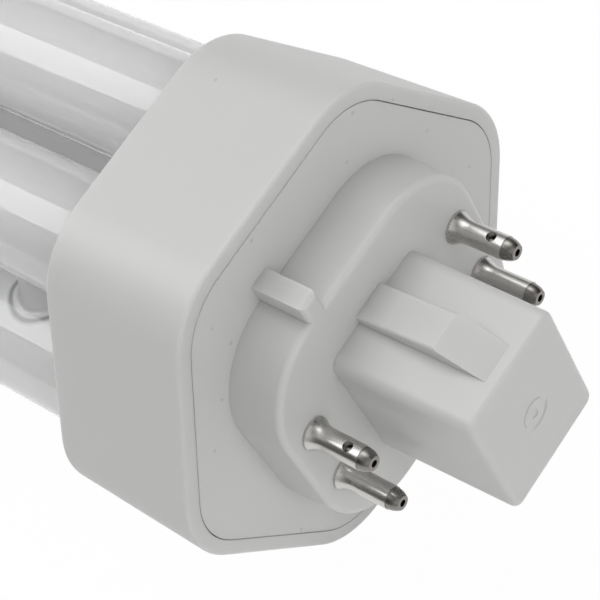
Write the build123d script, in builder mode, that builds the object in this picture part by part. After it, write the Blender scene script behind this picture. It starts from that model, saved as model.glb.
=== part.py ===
from build123d import *
from math import cos, radians, sin, tan
import os

os.makedirs("parts", exist_ok=True)

# A triple tube compact fluorescent lamp, lying on one flat of its holder.
# Millimetres. X runs along the lamp towards the cap, Z is up, and the origin is on the
# surface that the lamp lies on, below the middle of its length.

# Driving sizes: the whole lamp
overall_length = 131.2
part_clearance = 0.1

# Driving sizes: the discharge vessel, three U tubes on the corners of a hexagon
limb_diameter = 12.0
limb_spacing = 14.5
limb_end_radius = 4.5
bridge_diameter = 5.4
bridge_setback = 11.1
bridge_root_radius = 0.6
seal_length = 3.0
seal_width = 7.0
seal_thickness = 2.8
seal_corner_radius = 0.8
seal_setback = 2.4

# Driving sizes: the holder that carries the tubes
holder_margin = 3.94
holder_length = 16.4
holder_corner_radius = 9.25
holder_draft = 1.4
holder_back_wall = 2.0
holder_wall = 2.5
holder_edge_radius = 0.3
cement_depth = 3.4

# Driving sizes: the base cap
rim_wall = 1.55
cap_plate = 2.0
skirt_wall = 1.3
skirt_depth = 3.4
lug_width = 5.0
lug_height = 1.2
lug_proud = 0.5
lug_setback = 0.9
boss_height = 5.65
boss_depth = 28.4
boss_corner_radius = 9.0
boss_draft = 2.0
boss_wall = 1.3
boss_edge_radius = 0.6
key_width = 2.15
key_reach = 2.15
key_offset = -4.8

# Driving sizes: the post in the middle of the cap
post_height = 14.75
post_width = 13.2
post_depth = 16.3
post_corner_radius = 1.3
post_end_radius = 0.6
post_draft = 0.8
post_wall = 1.5
latch_width = 3.9
latch_foot_rise = 1.0
latch_top_rise = 1.85
latch_break = 8.65
latch_end = 13.45
latch_edge_radius = 0.3
gate_radius = 1.45
gate_height = 0.1
gate_stub_radius = 0.45

# Driving sizes: the four contact pins and their wires
pin_pitch_wide = 23.0
pin_pitch_narrow = 8.0
pin_radius = 1.15
pin_reach = 6.75
pin_nose_length = 1.15
pin_nose_step = 0.07
pin_tip_radius = 0.72
pin_flare_radius = 1.62
pin_flare_rim = 0.25
pin_flare_length = 1.7
pin_tail = 1.4
pin_tip_hole_radius = 0.36
pin_tip_hole_depth = 0.8
crimp_radius = 0.5
crimp_height = 4.25
pin_collar_length = 1.0
pin_collar_radius = 1.85
wire_radius = 0.35
wire_spread = 1.6
wire_bend_radius = 0.8
wire_end_gap = 0.4

# Sizes that follow
limb_radius = limb_diameter / 2
holder_across_flats = 2 * (limb_spacing * cos(radians(30)) + limb_radius + holder_margin)
holder_back_flats = holder_across_flats - 2 * holder_length * tan(radians(holder_draft))
holder_back_corner = holder_corner_radius - holder_length * tan(radians(holder_draft))
axis_height = holder_across_flats / 2
post_end_x = overall_length / 2 - gate_height
boss_top_x = post_end_x - post_height
rim_x = boss_top_x - boss_height
holder_back_x = rim_x - holder_length
plate_back_x = rim_x - cap_plate
far_end_x = -overall_length / 2
bend_x = far_end_x + limb_radius + limb_spacing / 2
seal_end_x = plate_back_x - seal_setback
limb_end_x = seal_end_x - seal_length
bridge_x = holder_back_x - bridge_setback
plate_flats = holder_across_flats - 2 * rim_wall - 2 * part_clearance
plate_corner = holder_corner_radius - rim_wall - part_clearance
cavity_flats = holder_back_flats - 2 * holder_wall
cavity_corner = holder_back_corner - holder_wall
skirt_flats = cavity_flats - 2 * part_clearance
skirt_corner = cavity_corner - part_clearance
lug_front_x = plate_back_x - lug_setback
boss_width = pin_pitch_wide + 2 * (pin_collar_radius + part_clearance + boss_wall)
pin_tip_x = boss_top_x + pin_reach
pin_wall_x = boss_top_x - boss_wall
pin_tail_x = pin_wall_x - pin_collar_length - pin_tail
pin_bore_radius = wire_radius + part_clearance
crimp_x = boss_top_x + crimp_height
pin_bore_end_x = pin_tip_x - pin_tip_hole_depth
wire_end_x = pin_bore_end_x - wire_end_gap
wire_level_x = (seal_end_x + plate_back_x) / 2
latch_face = post_depth / 2
latch_end_face = latch_face - latch_end * tan(radians(post_draft))


def section(x):
    """The plane across the lamp at x, with its centre on the lamp's axis."""
    return Plane(origin=(x, 0, axis_height), x_dir=(0, 1, 0), z_dir=(1, 0, 0))


def limb_angle(number):
    """Degrees round the axis. Limb 0 is upper left, seen from the cap."""
    return 120 - 60 * number


def limb_centre(number):
    """Y and height of a limb over the axis."""
    angle = radians(limb_angle(number))
    return limb_spacing * cos(angle), limb_spacing * sin(angle)


def rounded_hexagon(flats, corner):
    """A hexagon with two level flats, its corners rounded."""
    RegularPolygon(radius=flats / 2, side_count=6, major_radius=False)
    fillet(vertices(), radius=corner)


limb_centres = [limb_centre(n) for n in range(6)]
pin_centres = [
    (sy * pin_pitch_wide / 2, sz * pin_pitch_narrow / 2) for sy in (1, -1) for sz in (1, -1)
]

# Limbs 0 and 1 are joined by a bend at the far end, and so are 2 and 3, and 4 and 5.
# Bridges join limbs 3 and 4 and limbs 5 and 0, so the two electrodes are in 1 and 2.
bend_pairs = [(0, 1), (2, 3), (4, 5)]
bridge_pairs = [(3, 4), (5, 0)]
electrode_limbs = [1, 2]


# Discharge vessel: one piece of fused glass
with BuildPart() as discharge_vessel:
    for first, second in bend_pairs:
        y1, z1 = limb_centres[first]
        y2, z2 = limb_centres[second]
        start = Vector(limb_end_x, y1, axis_height + z1)
        turn_in = Vector(bend_x, y1, axis_height + z1)
        turn_out = Vector(bend_x, y2, axis_height + z2)
        finish = Vector(limb_end_x, y2, axis_height + z2)
        middle = (turn_in + turn_out) * 0.5 - Vector(limb_spacing / 2, 0, 0)
        with BuildLine() as tube_path:
            Line(start, turn_in)
            ThreePointArc(turn_in, middle, turn_out)
            Line(turn_out, finish)
        with BuildSketch(Plane(origin=start, x_dir=(0, 1, 0), z_dir=(-1, 0, 0))):
            Circle(limb_radius)
        sweep(path=tube_path.line)
    limb_ends = edges().filter_by(GeomType.CIRCLE).group_by(Axis.X)[-1]
    fillet(limb_ends, radius=limb_end_radius)
    for first, second in bridge_pairs:
        y1, z1 = limb_centres[first]
        y2, z2 = limb_centres[second]
        along = Vector(0, y2 - y1, z2 - z1).normalized()
        foot = Vector(bridge_x, y1, axis_height + z1)
        with BuildSketch(Plane(origin=foot, x_dir=(1, 0, 0), z_dir=along)):
            Circle(bridge_diameter / 2)
        extrude(amount=limb_spacing)
    bridge_roots = edges().filter_by(
        lambda e: abs(e.center().X - bridge_x) < 0.1 and e.bounding_box().size.X > bridge_diameter * 0.9
    )
    fillet(bridge_roots, radius=bridge_root_radius)
    for number in electrode_limbs:
        y, z = limb_centres[number]
        with BuildSketch(section(limb_end_x - limb_end_radius)):
            with Locations((y, z)):
                RectangleRounded(seal_thickness, seal_width, seal_corner_radius, rotation=limb_angle(number))
        extrude(amount=limb_end_radius + seal_length)
discharge_vessel.part.label = "discharge_vessel"
export_step(discharge_vessel.part, "parts/discharge_vessel.step")


# Tube holder: a hexagonal moulding with a hole for each limb
with BuildPart() as tube_holder:
    with BuildSketch(section(holder_back_x)):
        rounded_hexagon(holder_back_flats, holder_back_corner)
    with BuildSketch(section(rim_x)):
        rounded_hexagon(holder_across_flats, holder_corner_radius)
    loft(ruled=True)
    outer_edges = edges().group_by(Axis.X)[0] + edges().group_by(Axis.X)[-1]
    fillet(outer_edges, radius=holder_edge_radius)
    with BuildSketch(section(holder_back_x + holder_back_wall)):
        rounded_hexagon(cavity_flats, cavity_corner)
    extrude(amount=holder_length, mode=Mode.SUBTRACT)
    with BuildSketch(section(plate_back_x)):
        rounded_hexagon(plate_flats + 2 * part_clearance, plate_corner + part_clearance)
    extrude(amount=cap_plate * 2, mode=Mode.SUBTRACT)
    with BuildSketch(section(lug_front_x - lug_height - part_clearance)):
        with PolarLocations(skirt_flats / 2, 6, start_angle=30):
            Rectangle(2 * (lug_proud + part_clearance), lug_width + 2 * part_clearance)
    extrude(amount=lug_height + 2 * part_clearance, mode=Mode.SUBTRACT)
    with BuildSketch(section(holder_back_x)):
        with Locations(*limb_centres):
            Circle(limb_radius + part_clearance)
    extrude(amount=holder_back_wall, mode=Mode.SUBTRACT)
tube_holder.part.label = "tube_holder"
export_step(tube_holder.part, "parts/tube_holder.step")


# Tube cement: poured round the limbs on the holder's back wall
with BuildPart() as tube_cement:
    with BuildSketch(section(holder_back_x + holder_back_wall)):
        rounded_hexagon(skirt_flats, skirt_corner)
        with Locations(*limb_centres):
            Circle(limb_radius + part_clearance, mode=Mode.SUBTRACT)
    extrude(amount=cement_depth)
tube_cement.part.label = "tube_cement"
export_step(tube_cement.part, "parts/tube_cement.step")


# Base cap: plate, skirt, boss, key and post moulded in one
with BuildPart() as base_cap:
    with BuildSketch(section(plate_back_x)):
        rounded_hexagon(plate_flats, plate_corner)
    extrude(amount=cap_plate)
    with BuildSketch(section(plate_back_x - skirt_depth)):
        rounded_hexagon(skirt_flats, skirt_corner)
    extrude(amount=skirt_depth)
    with BuildSketch(section(plate_back_x - skirt_depth)):
        rounded_hexagon(skirt_flats - 2 * skirt_wall, skirt_corner - skirt_wall)
    extrude(amount=skirt_depth, mode=Mode.SUBTRACT)
    with BuildSketch(section(lug_front_x - lug_height)):
        with PolarLocations(skirt_flats / 2, 6, start_angle=30):
            Rectangle(2 * lug_proud, lug_width)
    extrude(amount=lug_height)
    with BuildSketch(section(rim_x)):
        RectangleRounded(boss_width, boss_depth, boss_corner_radius)
    extrude(amount=boss_height, taper=boss_draft)
    with BuildSketch(section(rim_x)):
        with Locations((key_offset, boss_depth / 2)):
            Rectangle(key_width, 2 * key_reach)
    extrude(amount=boss_height)
    boss_edges = edges().filter_by(Plane.YZ).group_by(Axis.X)[-1]
    fillet(boss_edges, radius=boss_edge_radius)
    with BuildSketch(section(boss_top_x)):
        RectangleRounded(post_width, post_depth, post_corner_radius)
    extrude(amount=post_height, taper=post_draft)
    with BuildSketch(section(plate_back_x)):
        RectangleRounded(
            boss_width - 2 * boss_wall, boss_depth - 2 * boss_wall, boss_corner_radius - boss_wall
        )
    extrude(amount=pin_wall_x - plate_back_x, mode=Mode.SUBTRACT)
    with BuildSketch(section(pin_wall_x)):
        RectangleRounded(post_width - 2 * post_wall, post_depth - 2 * post_wall, post_corner_radius)
    extrude(amount=post_end_x - post_wall - pin_wall_x, mode=Mode.SUBTRACT)
    fillet(edges().group_by(Axis.X)[-1], radius=post_end_radius)
    for side in (1, -1):
        with BuildSketch(Plane(origin=(boss_top_x, 0, axis_height), x_dir=(1, 0, 0), z_dir=(0, -side, 0))):
            with BuildLine():
                Polyline(
                    (-boss_wall / 2, latch_face - post_wall / 2),
                    (-boss_wall / 2, latch_face + latch_foot_rise),
                    (0, latch_face + latch_foot_rise),
                    (latch_break, latch_face + latch_top_rise),
                    (latch_end, latch_end_face),
                    (latch_end, latch_face - post_wall / 2),
                    close=True,
                )
            make_face()
        extrude(amount=latch_width / 2, both=True)
    latch_edges = edges().filter_by(
        lambda e: abs(abs(e.center().Y) - latch_width / 2) < 0.01
        and abs(e.center().Z - axis_height) > latch_face + latch_foot_rise
    )
    fillet(latch_edges, radius=latch_edge_radius)
    with BuildSketch(section(pin_wall_x)):
        with Locations(*pin_centres):
            Circle(pin_radius + part_clearance)
    extrude(amount=boss_wall, mode=Mode.SUBTRACT)
    with BuildSketch(section(post_end_x)):
        Circle(gate_radius)
        Circle(gate_stub_radius, mode=Mode.SUBTRACT)
    extrude(amount=gate_height)
base_cap.part.label = "base_cap"
export_step(base_cap.part, "parts/base_cap.step")


# Contact pins: turned hollow, held by a flare outside the boss and a collar inside it
for number, (y, z) in enumerate(pin_centres, start=1):
    pin_axis = Plane(origin=(0, y, axis_height + z), x_dir=(1, 0, 0), z_dir=(0, -1, 0))
    with BuildPart() as contact_pin:
        with BuildSketch(pin_axis):
            with BuildLine():
                Polyline(
                    (pin_tip_x, pin_tip_radius),
                    (pin_tip_x, pin_tip_hole_radius),
                    (pin_bore_end_x, pin_tip_hole_radius),
                    (pin_bore_end_x, pin_bore_radius),
                    (pin_tail_x, pin_bore_radius),
                    (pin_tail_x, pin_radius),
                    (pin_wall_x - pin_collar_length, pin_radius),
                    (pin_wall_x - pin_collar_length, pin_collar_radius),
                    (pin_wall_x, pin_collar_radius),
                    (pin_wall_x, pin_radius),
                    (boss_top_x, pin_radius),
                    (boss_top_x, pin_flare_radius),
                    (boss_top_x + pin_flare_rim, pin_flare_radius),
                )
                TangentArc(
                    (boss_top_x + pin_flare_length, pin_radius),
                    (boss_top_x + pin_flare_rim, pin_flare_radius),
                    tangent=(-1, 0),
                )
                Polyline(
                    (boss_top_x + pin_flare_length, pin_radius),
                    (pin_tip_x - pin_nose_length, pin_radius),
                    (pin_tip_x - pin_nose_length, pin_radius - pin_nose_step),
                )
                TangentArc(
                    (pin_tip_x - pin_nose_length, pin_radius - pin_nose_step),
                    (pin_tip_x, pin_tip_radius),
                    tangent=(1, 0),
                )
            make_face()
        revolve(axis=Axis((0, y, axis_height + z), (1, 0, 0)))
        with BuildSketch(Plane(origin=(crimp_x, y, axis_height + z), x_dir=(1, 0, 0), z_dir=(0, 0, z))):
            Circle(crimp_radius)
        extrude(amount=pin_radius + part_clearance, mode=Mode.SUBTRACT)
    contact_pin.part.label = f"contact_pin_{number}"
    export_step(contact_pin.part, f"parts/contact_pin_{number}.step")


# Lead wires: from each electrode's seal to the bores of its two pins
wire_starts = []
for number in (electrode_limbs[1], electrode_limbs[0]):
    y, z = limb_centres[number]
    turn = radians(limb_angle(number))
    for side in (1, -1):
        wire_starts.append((y - side * wire_spread * sin(turn), z + side * wire_spread * cos(turn)))
for number, (y1, z1) in enumerate(wire_starts, start=1):
    y2, z2 = pin_centres[number - 1]
    across = Vector(0, y2 - y1, z2 - z1)
    start = (seal_end_x, y1, axis_height + z1)
    wire_plane = Plane(origin=start, x_dir=(1, 0, 0), z_dir=Vector(1, 0, 0).cross(across.normalized()))
    with BuildPart() as lead_wire:
        with BuildLine(wire_plane) as wire_path:
            FilletPolyline(
                (0, 0),
                (wire_level_x - seal_end_x, 0),
                (wire_level_x - seal_end_x, across.length),
                (wire_end_x - seal_end_x, across.length),
                radius=wire_bend_radius,
            )
        with BuildSketch(Plane(origin=start, x_dir=(0, 1, 0), z_dir=(1, 0, 0))):
            Circle(wire_radius)
        sweep(path=wire_path.line)
    lead_wire.part.label = f"lead_wire_{number}"
    export_step(lead_wire.part, f"parts/lead_wire_{number}.step")
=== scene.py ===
"""A triple tube compact fluorescent lamp on a white studio floor, seen from its cap."""

from math import cos, radians, sin

import bmesh
import bpy
from mathutils import Matrix, Vector

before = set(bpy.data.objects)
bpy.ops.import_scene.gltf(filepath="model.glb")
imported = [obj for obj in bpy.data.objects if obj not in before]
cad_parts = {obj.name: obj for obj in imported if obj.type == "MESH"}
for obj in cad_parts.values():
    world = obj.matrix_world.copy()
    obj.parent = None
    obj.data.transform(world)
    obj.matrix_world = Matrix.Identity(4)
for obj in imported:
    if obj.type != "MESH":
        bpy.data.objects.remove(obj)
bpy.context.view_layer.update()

MM = 0.001

# The same sizes as in the part, in millimetres
AXIS_HEIGHT = 22.497
LIMB_SPACING = 14.5
BRIDGE_X = 17.6
NOSE_X = 56.35
POST_END_X = 65.5

# Radii of the uncoated glass ring round a bridge, painted dark, and of the painted shade round the gate's
# lip, in millimetres
ROOT_RING = 3.6
GATE_SHADE_RING = 1.65


def lin(code):
    """Linear colour of an sRGB hex code."""
    values = [int(code[i : i + 2], 16) / 255 for i in (0, 2, 4)]
    return [v / 12.92 if v <= 0.04045 else ((v + 0.055) / 1.055) ** 2.4 for v in values] + [1.0]


def add(tree, kind, settings=None, **links):
    """Add a node. Settings are inputs by name or number, or attributes; a link in_1 goes to input 1."""
    node = tree.nodes.new(kind)
    for name, value in (settings or {}).items():
        if isinstance(name, int) or name in node.inputs:
            node.inputs[name].default_value = value
        else:
            setattr(node, name, value)
    for name, source in links.items():
        socket = int(name[3:]) if name.startswith("in_") else name.replace("_", " ")
        tree.links.new(source, node.inputs[socket])
    return node


def new_material(name):
    """An empty material and its node tree."""
    mat = bpy.data.materials.new(name)
    mat.use_nodes = True
    mat.node_tree.nodes.clear()
    return mat, mat.node_tree


def finish_material(tree, shader):
    """Make the shader the material's surface."""
    out = tree.nodes.new("ShaderNodeOutputMaterial")
    tree.links.new(shader, out.inputs["Surface"])


# Camera: the photograph's own, fitted to the cap's pins, post, boss and rim
CAMERA_PLACE = Vector((143.207, -48.193, 173.148)) * MM
CAMERA_RIGHT = Vector((0.753436, 0.559067, -0.346090))
CAMERA_UP = Vector((-0.356622, 0.789667, 0.499246))
cam_data = bpy.data.cameras.new("photo_camera")
cam_data.sensor_width = 36.0
cam_data.lens = 121.64
cam_data.shift_x = 0.00669
cam_data.shift_y = 0.00607
cam_data.clip_start = 0.01
camera = bpy.data.objects.new("photo_camera", cam_data)
axes = (CAMERA_RIGHT, CAMERA_UP, CAMERA_RIGHT.cross(CAMERA_UP))
camera.matrix_world = Matrix.Translation(CAMERA_PLACE) @ Matrix(axes).transposed().to_4x4()
bpy.context.scene.collection.objects.link(camera)
bpy.context.scene.camera = camera
bpy.context.scene.view_settings.view_transform = "Standard"


# White PBT of the holder and the cap. Here and below, pattern sizes are in millimetres.
PBT_COLOUR = "CDCDCC"
# Colour of the dull specks, and of the painted shade on the gate's lip
PBT_SPECK_AND_SHADE = "8E8D8A"
PBT_ROUGHNESS = 0.42
BLOTCH_SIZE = 11.1
SPECK_CELL = 3.03
SPECK_SHARE = 0.14
SPECK_STRENGTH = 0.36
SPECK_RAGGED = 0.4
SPECK_PUSH = 0.2
SPARK_GRAIN = 0.238
SPARK_DEPTH = 0.02

# A speck's core and edge, as shares of its cell
SPECK_CORE = 0.04
SPECK_EDGE = 0.08


def with_gate_lip_shade(tree, coords, colour):
    """The sheared moulding gate on the post's end: painted shade on the lip just outside the gate, on its
    lower side, away from the light.
    """
    offset = add(
        tree, "ShaderNodeVectorMath", {"operation": "SUBTRACT", 1: (0, 0, AXIS_HEIGHT * MM)}, in_0=coords
    )
    place = add(tree, "ShaderNodeSeparateXYZ", Vector=offset.outputs["Vector"])
    face = add(
        tree, "ShaderNodeMath", {"operation": "GREATER_THAN", 1: (POST_END_X - 0.2) * MM},
        in_0=place.outputs["X"],
    )
    flat = add(
        tree, "ShaderNodeVectorMath", {"operation": "MULTIPLY", 1: (0, 1, 1)}, in_0=offset.outputs["Vector"]
    )
    radius = add(tree, "ShaderNodeVectorMath", {"operation": "LENGTH"}, in_0=flat.outputs["Vector"])
    away = add(
        tree, "ShaderNodeMath", {"operation": "SUBTRACT", 1: GATE_SHADE_RING * MM}, in_0=radius.outputs["Value"]
    )
    size = add(tree, "ShaderNodeMath", {"operation": "ABSOLUTE"}, in_0=away.outputs["Value"])
    ring = add(
        tree, "ShaderNodeMapRange",
        {"From Min": 0.15 * MM, "From Max": 0.4 * MM, "To Min": 0.5, "To Max": 0.0},
        Value=size.outputs["Value"],
    )
    # How far a point lies towards the arc's middle, down and to one side
    lower = add(
        tree, "ShaderNodeVectorMath", {"operation": "DOT_PRODUCT", 1: (0, 0.41, -0.91)},
        in_0=flat.outputs["Vector"],
    )
    turned = add(
        tree, "ShaderNodeMapRange", {"From Min": 0.9 * MM, "From Max": 1.5 * MM},
        Value=lower.outputs["Value"],
    )
    arc = add(
        tree, "ShaderNodeMath", {"operation": "MULTIPLY"}, in_0=ring.outputs["Result"],
        in_1=turned.outputs["Result"],
    )
    # Painted shade: the lip's lower side, away from the light, is darkened
    lip = add(
        tree, "ShaderNodeMath", {"operation": "MULTIPLY"}, in_0=arc.outputs["Value"],
        in_1=face.outputs["Value"],
    )
    lip_shaded = add(
        tree, "ShaderNodeMix", {"data_type": "RGBA", 7: lin(PBT_SPECK_AND_SHADE)}, in_0=lip.outputs["Value"],
        in_6=colour,
    )
    return lip_shaded.outputs[2]


def moulded_pbt(name, gate=False):
    """Injection moulded white PBT: satin, with a fine spark grain, faint blotches and a few dull specks, and
    with gate, a painted shade on the gate's lower lip.
    """
    mat, tree = new_material(name)
    coords = add(tree, "ShaderNodeTexCoord").outputs["Object"]
    # Blotches, where the melt cooled unevenly
    blotch = add(tree, "ShaderNodeTexNoise", {"Scale": 1 / (BLOTCH_SIZE * MM), "Detail": 3.0}, Vector=coords)
    tone = add(tree, "ShaderNodeMapRange", {"To Min": 0.985, "To Max": 1.015}, Value=blotch.outputs["Fac"])
    base = add(
        tree, "ShaderNodeMix", {"data_type": "RGBA", "blend_type": "MULTIPLY", 0: 1.0, 6: lin(PBT_COLOUR)},
        in_7=tone.outputs["Result"],
    )
    # Specks of about 0.3 mm in a few of the cells, out of round
    ragged = add(
        tree, "ShaderNodeTexNoise", {"Scale": 1 / (SPECK_RAGGED * MM), "Detail": 1.0}, Vector=coords
    )
    push = add(
        tree, "ShaderNodeVectorMath", {"operation": "SCALE", "Scale": SPECK_PUSH * MM},
        Vector=ragged.outputs["Color"],
    )
    moved = add(
        tree, "ShaderNodeVectorMath", {"operation": "ADD"}, in_0=coords, in_1=push.outputs["Vector"]
    )
    cells = add(
        tree, "ShaderNodeTexVoronoi", {"Scale": 1 / (SPECK_CELL * MM)}, Vector=moved.outputs["Vector"]
    )
    chance = add(tree, "ShaderNodeSeparateColor", Color=cells.outputs["Color"])
    chosen = add(
        tree, "ShaderNodeMath", {"operation": "GREATER_THAN", 1: 1 - SPECK_SHARE},
        in_0=chance.outputs["Red"],
    )
    spot = add(
        tree, "ShaderNodeMapRange",
        {"From Min": SPECK_CORE, "From Max": SPECK_EDGE, "To Min": SPECK_STRENGTH, "To Max": 0.0},
        Value=cells.outputs["Distance"],
    )
    speck = add(
        tree, "ShaderNodeMath", {"operation": "MULTIPLY"}, in_0=spot.outputs["Result"],
        in_1=chosen.outputs["Value"],
    )
    marked = add(
        tree, "ShaderNodeMix", {"data_type": "RGBA", 7: lin(PBT_SPECK_AND_SHADE)}, in_0=speck.outputs["Value"],
        in_6=base.outputs[2],
    )
    # On the cap, painted shade on the lower side of the gate's lip
    colour = with_gate_lip_shade(tree, coords, marked.outputs[2]) if gate else marked.outputs[2]
    # Spark grain, coarser than on the real mould so that it shows
    fine = add(tree, "ShaderNodeTexNoise", {"Scale": 1 / (SPARK_GRAIN * MM), "Detail": 2.0}, Vector=coords)
    bump = add(
        tree, "ShaderNodeBump", {"Strength": 0.12, "Distance": SPARK_DEPTH * MM}, Height=fine.outputs["Fac"]
    )
    shader = add(
        tree, "ShaderNodeBsdfPrincipled",
        {
            "Roughness": PBT_ROUGHNESS, "IOR": 1.5,
            "Subsurface Weight": 0.5, "Subsurface Radius": (1.0, 1.0, 1.0), "Subsurface Scale": 1.2 * MM,
        },
        Base_Color=colour, Normal=bump.outputs["Normal"],
    )
    finish_material(tree, shader.outputs["BSDF"])
    return mat


holder_plastic = moulded_pbt("white_pbt_holder")
cap_plastic = moulded_pbt("white_pbt_cap", gate=True)

# Phosphor coated soda glass, its coating a little uneven
COATING_COLOUR = "F3F3F3"
# Uncoated glass at the bridges, painted dark grey as painted shade and painted dark refraction
BARE_GLASS_AND_SHADE = "5C5E5E"
COATING_PATCH = 16.7
BRIDGED_LIMBS = ((3, 4), (5, 0))

# The ring lies no further than this from the bridge's middle, measured along the bridge
RING_REACH = 5.0


def limb_place(number):
    """A limb's centre line in metres, as y and height, numbered as in the part."""
    angle = radians(120 - 60 * number)
    return LIMB_SPACING * cos(angle) * MM, (AXIS_HEIGHT + LIMB_SPACING * sin(angle)) * MM


def with_bare_ring_shade(tree, coords, coating, first, second):
    """Uncoated glass in a ring round the root of the bridge between two limbs, painted dark grey: the
    coating is missing there, and the dark is painted shade and painted dark refraction in the crease round
    the bridge.
    """
    y1, z1 = limb_place(first)
    y2, z2 = limb_place(second)
    middle = Vector((BRIDGE_X * MM, (y1 + y2) / 2, (z1 + z2) / 2))
    along = Vector((0, y2 - y1, z2 - z1)).normalized()
    offset = add(tree, "ShaderNodeVectorMath", {"operation": "SUBTRACT", 1: middle}, in_0=coords)
    reach = add(tree, "ShaderNodeVectorMath", {"operation": "LENGTH"}, in_0=offset.outputs["Vector"])
    share = add(
        tree, "ShaderNodeVectorMath", {"operation": "DOT_PRODUCT", 1: along}, in_0=offset.outputs["Vector"]
    )
    # Distance from the bridge's axis, from the distance to its middle and the share of it along the axis
    square = add(tree, "ShaderNodeMath", {"operation": "POWER", 1: 2.0}, in_0=reach.outputs["Value"])
    part = add(tree, "ShaderNodeMath", {"operation": "POWER", 1: 2.0}, in_0=share.outputs["Value"])
    rest = add(
        tree, "ShaderNodeMath", {"operation": "SUBTRACT"}, in_0=square.outputs["Value"],
        in_1=part.outputs["Value"],
    )
    radius = add(tree, "ShaderNodeMath", {"operation": "SQRT"}, in_0=rest.outputs["Value"])
    side = add(tree, "ShaderNodeMath", {"operation": "ABSOLUTE"}, in_0=share.outputs["Value"])
    close = add(
        tree, "ShaderNodeMath", {"operation": "LESS_THAN", 1: RING_REACH * MM}, in_0=side.outputs["Value"]
    )
    away = add(
        tree, "ShaderNodeMath", {"operation": "SUBTRACT", 1: ROOT_RING * MM}, in_0=radius.outputs["Value"]
    )
    size = add(tree, "ShaderNodeMath", {"operation": "ABSOLUTE"}, in_0=away.outputs["Value"])
    line = add(
        tree, "ShaderNodeMapRange",
        {"From Min": 0.1 * MM, "From Max": 0.5 * MM, "To Min": 0.9, "To Max": 0.0},
        Value=size.outputs["Value"],
    )
    inner = add(
        tree, "ShaderNodeMapRange", {"From Min": -0.4 * MM, "From Max": 0.0, "To Min": 0.4, "To Max": 0.0},
        Value=away.outputs["Value"],
    )
    both = add(
        tree, "ShaderNodeMath", {"operation": "MAXIMUM"}, in_0=line.outputs["Result"],
        in_1=inner.outputs["Result"],
    )
    mask = add(
        tree, "ShaderNodeMath", {"operation": "MULTIPLY"}, in_0=both.outputs["Value"],
        in_1=close.outputs["Value"],
    )
    # Painted shade: the ring and its inside are darkened towards the dark grey
    bare_and_shade = add(
        tree, "ShaderNodeMix", {"data_type": "RGBA", 7: lin(BARE_GLASS_AND_SHADE)}, in_0=mask.outputs["Value"],
        in_6=coating,
    )
    return bare_and_shade.outputs[2]


# A smooth clear skin over a chalky white coating that light passes through, so that the gaps between
# the tubes stay pale
glass, tree = new_material("phosphor_coated_glass")
coords = add(tree, "ShaderNodeTexCoord").outputs["Object"]
uneven = add(tree, "ShaderNodeTexNoise", {"Scale": 1 / (COATING_PATCH * MM), "Detail": 2.0}, Vector=coords)
tone = add(tree, "ShaderNodeMapRange", {"To Min": 0.98, "To Max": 1.02}, Value=uneven.outputs["Fac"])
base = add(
    tree, "ShaderNodeMix", {"data_type": "RGBA", "blend_type": "MULTIPLY", 0: 1.0, 6: lin(COATING_COLOUR)},
    in_7=tone.outputs["Result"],
)
coating = base.outputs[2]
for first, second in BRIDGED_LIMBS:
    coating = with_bare_ring_shade(tree, coords, coating, first, second)
shader = add(
    tree, "ShaderNodeBsdfPrincipled",
    {
        "Roughness": 0.6, "IOR": 1.5, "Coat Weight": 1.0, "Coat Roughness": 0.02, "Coat IOR": 1.5,
        "Subsurface Weight": 1.0, "Subsurface Radius": (1.0, 1.0, 1.0), "Subsurface Scale": 80 * MM,
    },
    Base_Color=coating,
)
finish_material(tree, shader.outputs["BSDF"])

# Nickel plated brass of the pins, drawn along the shank: lighter on the shank and darker on the nose.
# The drawing lines are coarser than real ones so that they show.
SHANK_COLOUR = "CAC8C5"
NOSE_COLOUR = "8A8783"
STREAK_LENGTH = 2.5
STREAK_WIDTH = 0.1667
nickel, tree = new_material("nickel_plated_brass")
coords = add(tree, "ShaderNodeTexCoord").outputs["Object"]
streaks = [1 / (size * MM) for size in (STREAK_LENGTH, STREAK_WIDTH, STREAK_WIDTH)]
stretch = add(tree, "ShaderNodeMapping", {"Scale": streaks}, Vector=coords)
wear = add(tree, "ShaderNodeTexNoise", {"Scale": 1.0, "Detail": 4.0}, Vector=stretch.outputs["Vector"])
place = add(tree, "ShaderNodeSeparateXYZ", Vector=coords)
nose = add(
    tree, "ShaderNodeMapRange", {"From Min": (NOSE_X - 0.05) * MM, "From Max": (NOSE_X + 0.05) * MM},
    Value=place.outputs["X"],
)
metal = add(
    tree, "ShaderNodeMix", {"data_type": "RGBA", 6: lin(SHANK_COLOUR), 7: lin(NOSE_COLOUR)},
    in_0=nose.outputs["Result"],
)
rough = add(tree, "ShaderNodeMapRange", {"To Min": 0.2, "To Max": 0.38}, Value=wear.outputs["Fac"])
bump = add(tree, "ShaderNodeBump", {"Strength": 0.15, "Distance": 0.02 * MM}, Height=wear.outputs["Fac"])
shader = add(
    tree, "ShaderNodeBsdfPrincipled", {"Metallic": 1.0}, Base_Color=metal.outputs[2],
    Roughness=rough.outputs["Result"], Normal=bump.outputs["Normal"],
)
finish_material(tree, shader.outputs["BSDF"])

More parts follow.
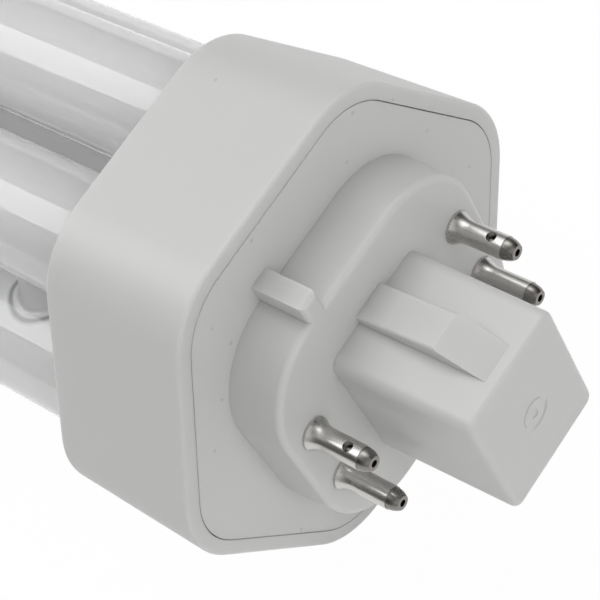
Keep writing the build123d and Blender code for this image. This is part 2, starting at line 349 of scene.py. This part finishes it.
# Silicone cement inside the holder: matt and off white, its poured surface pitted and a little mottled
PIT_SIZE = 1.43
cement, tree = new_material("silicone_cement")
coords = add(tree, "ShaderNodeTexCoord").outputs["Object"]
pits = add(tree, "ShaderNodeTexNoise", {"Scale": 1 / (PIT_SIZE * MM), "Detail": 3.0}, Vector=coords)
base = add(
    tree, "ShaderNodeMix", {"data_type": "RGBA", 6: lin("BFBDB6"), 7: lin("D2D0CA")},
    in_0=pits.outputs["Fac"],
)
bump = add(tree, "ShaderNodeBump", {"Strength": 0.5, "Distance": 0.2 * MM}, Height=pits.outputs["Fac"])
shader = add(
    tree, "ShaderNodeBsdfPrincipled", {"Roughness": 0.8}, Base_Color=base.outputs[2],
    Normal=bump.outputs["Normal"],
)
finish_material(tree, shader.outputs["BSDF"])

# Tinned copper of the lead wires inside the cap: silvery, with dull patches where the tin has oxidised
PATCH_SIZE = 1.11
wire, tree = new_material("tinned_copper_wire")
coords = add(tree, "ShaderNodeTexCoord").outputs["Object"]
patch = add(tree, "ShaderNodeTexNoise", {"Scale": 1 / (PATCH_SIZE * MM), "Detail": 3.0}, Vector=coords)
base = add(
    tree, "ShaderNodeMix", {"data_type": "RGBA", 6: lin("A29E97"), 7: lin("C6C3BD")},
    in_0=patch.outputs["Fac"],
)
rough = add(tree, "ShaderNodeMapRange", {"To Min": 0.45, "To Max": 0.25}, Value=patch.outputs["Fac"])
shader = add(
    tree, "ShaderNodeBsdfPrincipled", {"Metallic": 1.0}, Base_Color=base.outputs[2],
    Roughness=rough.outputs["Result"],
)
finish_material(tree, shader.outputs["BSDF"])

FINISHES = {
    "discharge_vessel": glass,
    "tube_holder": holder_plastic,
    "base_cap": cap_plastic,
    "tube_cement": cement,
}
for number in range(1, 5):
    FINISHES[f"contact_pin_{number}"] = nickel
    FINISHES[f"lead_wire_{number}"] = wire
for node, mat in FINISHES.items():
    for piece_slot in bpy.data.objects[node].material_slots:
        piece_slot.material = mat

# Floor: white to the eye, in reflections and through glass, with a trace of the lamp's soft shadow
FLOOR_REACH = 3.0
FLOOR_WHITE = 0.98
floor_mat, tree = new_material("studio_white")
path = add(tree, "ShaderNodeLightPath").outputs
paint = add(tree, "ShaderNodeBsdfDiffuse", {"Color": lin("F2F2F2")})
glow = add(tree, "ShaderNodeEmission", {"Color": (1, 1, 1, 1), "Strength": 1.0})
seen = add(
    tree, "ShaderNodeMath", {"operation": "MAXIMUM"}, in_0=path["Is Camera Ray"], in_1=path["Is Glossy Ray"]
)
white = add(
    tree, "ShaderNodeMath", {"operation": "MAXIMUM"}, in_0=seen.outputs["Value"],
    in_1=path["Is Transmission Ray"],
)
share = add(tree, "ShaderNodeMath", {"operation": "MULTIPLY", 1: FLOOR_WHITE}, in_0=white.outputs["Value"])
shown = add(
    tree, "ShaderNodeMixShader", in_0=share.outputs["Value"], in_1=paint.outputs["BSDF"],
    in_2=glow.outputs["Emission"],
)
finish_material(tree, shown.outputs["Shader"])
mesh = bpy.data.meshes.new("studio_floor")
bm = bmesh.new()
bmesh.ops.create_grid(bm, x_segments=1, y_segments=1, size=FLOOR_REACH)
bm.to_mesh(mesh)
bm.free()
mesh.materials.append(floor_mat)
floor = bpy.data.objects.new("studio_floor", mesh)
bpy.context.scene.collection.objects.link(floor)

# Fill light of the white room, as soft lobes: azimuth from +X towards +Y, elevation, sharpness, strength.
# The first has sharpness 0, so it is even light from all round.
FILLS = [
    (0, 90, 0, 0.05), (0, 12, 24, 3.2), (120, 15, 8, 0.18), (300, 15, 8, 0.52), (0, 40, 16, 1.30),
    (315, 40, 16, 0.55), (120, 65, 16, 3.65), (240, 65, 16, 0.66),
]
world = bpy.data.worlds.new("studio_room")
world.use_nodes = True
tree = world.node_tree
coords = add(tree, "ShaderNodeTexCoord").outputs["Generated"]
total = None
for azimuth, elevation, sharpness, strength in FILLS:
    turn, rise = radians(azimuth), radians(elevation)
    towards = (cos(turn) * cos(rise), sin(turn) * cos(rise), sin(rise))
    facing = add(tree, "ShaderNodeVectorMath", {"operation": "DOT_PRODUCT", 1: towards}, in_0=coords)
    front = add(tree, "ShaderNodeMath", {"operation": "MAXIMUM", 1: 0.0}, in_0=facing.outputs["Value"])
    lobe = add(tree, "ShaderNodeMath", {"operation": "POWER", 1: sharpness}, in_0=front.outputs["Value"])
    light = add(tree, "ShaderNodeMath", {"operation": "MULTIPLY", 1: strength}, in_0=lobe.outputs["Value"])
    if total is not None:
        light = add(tree, "ShaderNodeMath", {"operation": "ADD"}, in_0=total, in_1=light.outputs["Value"])
    total = light.outputs["Value"]
grey = add(tree, "ShaderNodeCombineColor", Red=total, Green=total, Blue=total)
tree.links.new(grey.outputs["Color"], tree.nodes["Background"].inputs["Color"])
bpy.context.scene.world = world

# Soft box over the far end of the tubes, which gives their long bright strips
BOX_SIDE = 0.46
BOX_DISTANCE = 0.8
BOX_AIM = Vector((0.04, 0.0, 0.02))
BOX_TOWARDS = Vector((-0.65, -0.12, 0.74)).normalized()
box_light = bpy.data.lights.new("soft_box", "AREA")
box_light.shape = "RECTANGLE"
box_light.size = BOX_SIDE
box_light.size_y = BOX_SIDE
box_light.energy = 2.3
soft_box = bpy.data.objects.new("soft_box", box_light)
box_place = Matrix.Translation(BOX_AIM + BOX_TOWARDS * BOX_DISTANCE)
soft_box.matrix_world = box_place @ BOX_TOWARDS.to_track_quat("Z", "Y").to_matrix().to_4x4()
bpy.context.scene.collection.objects.link(soft_box)
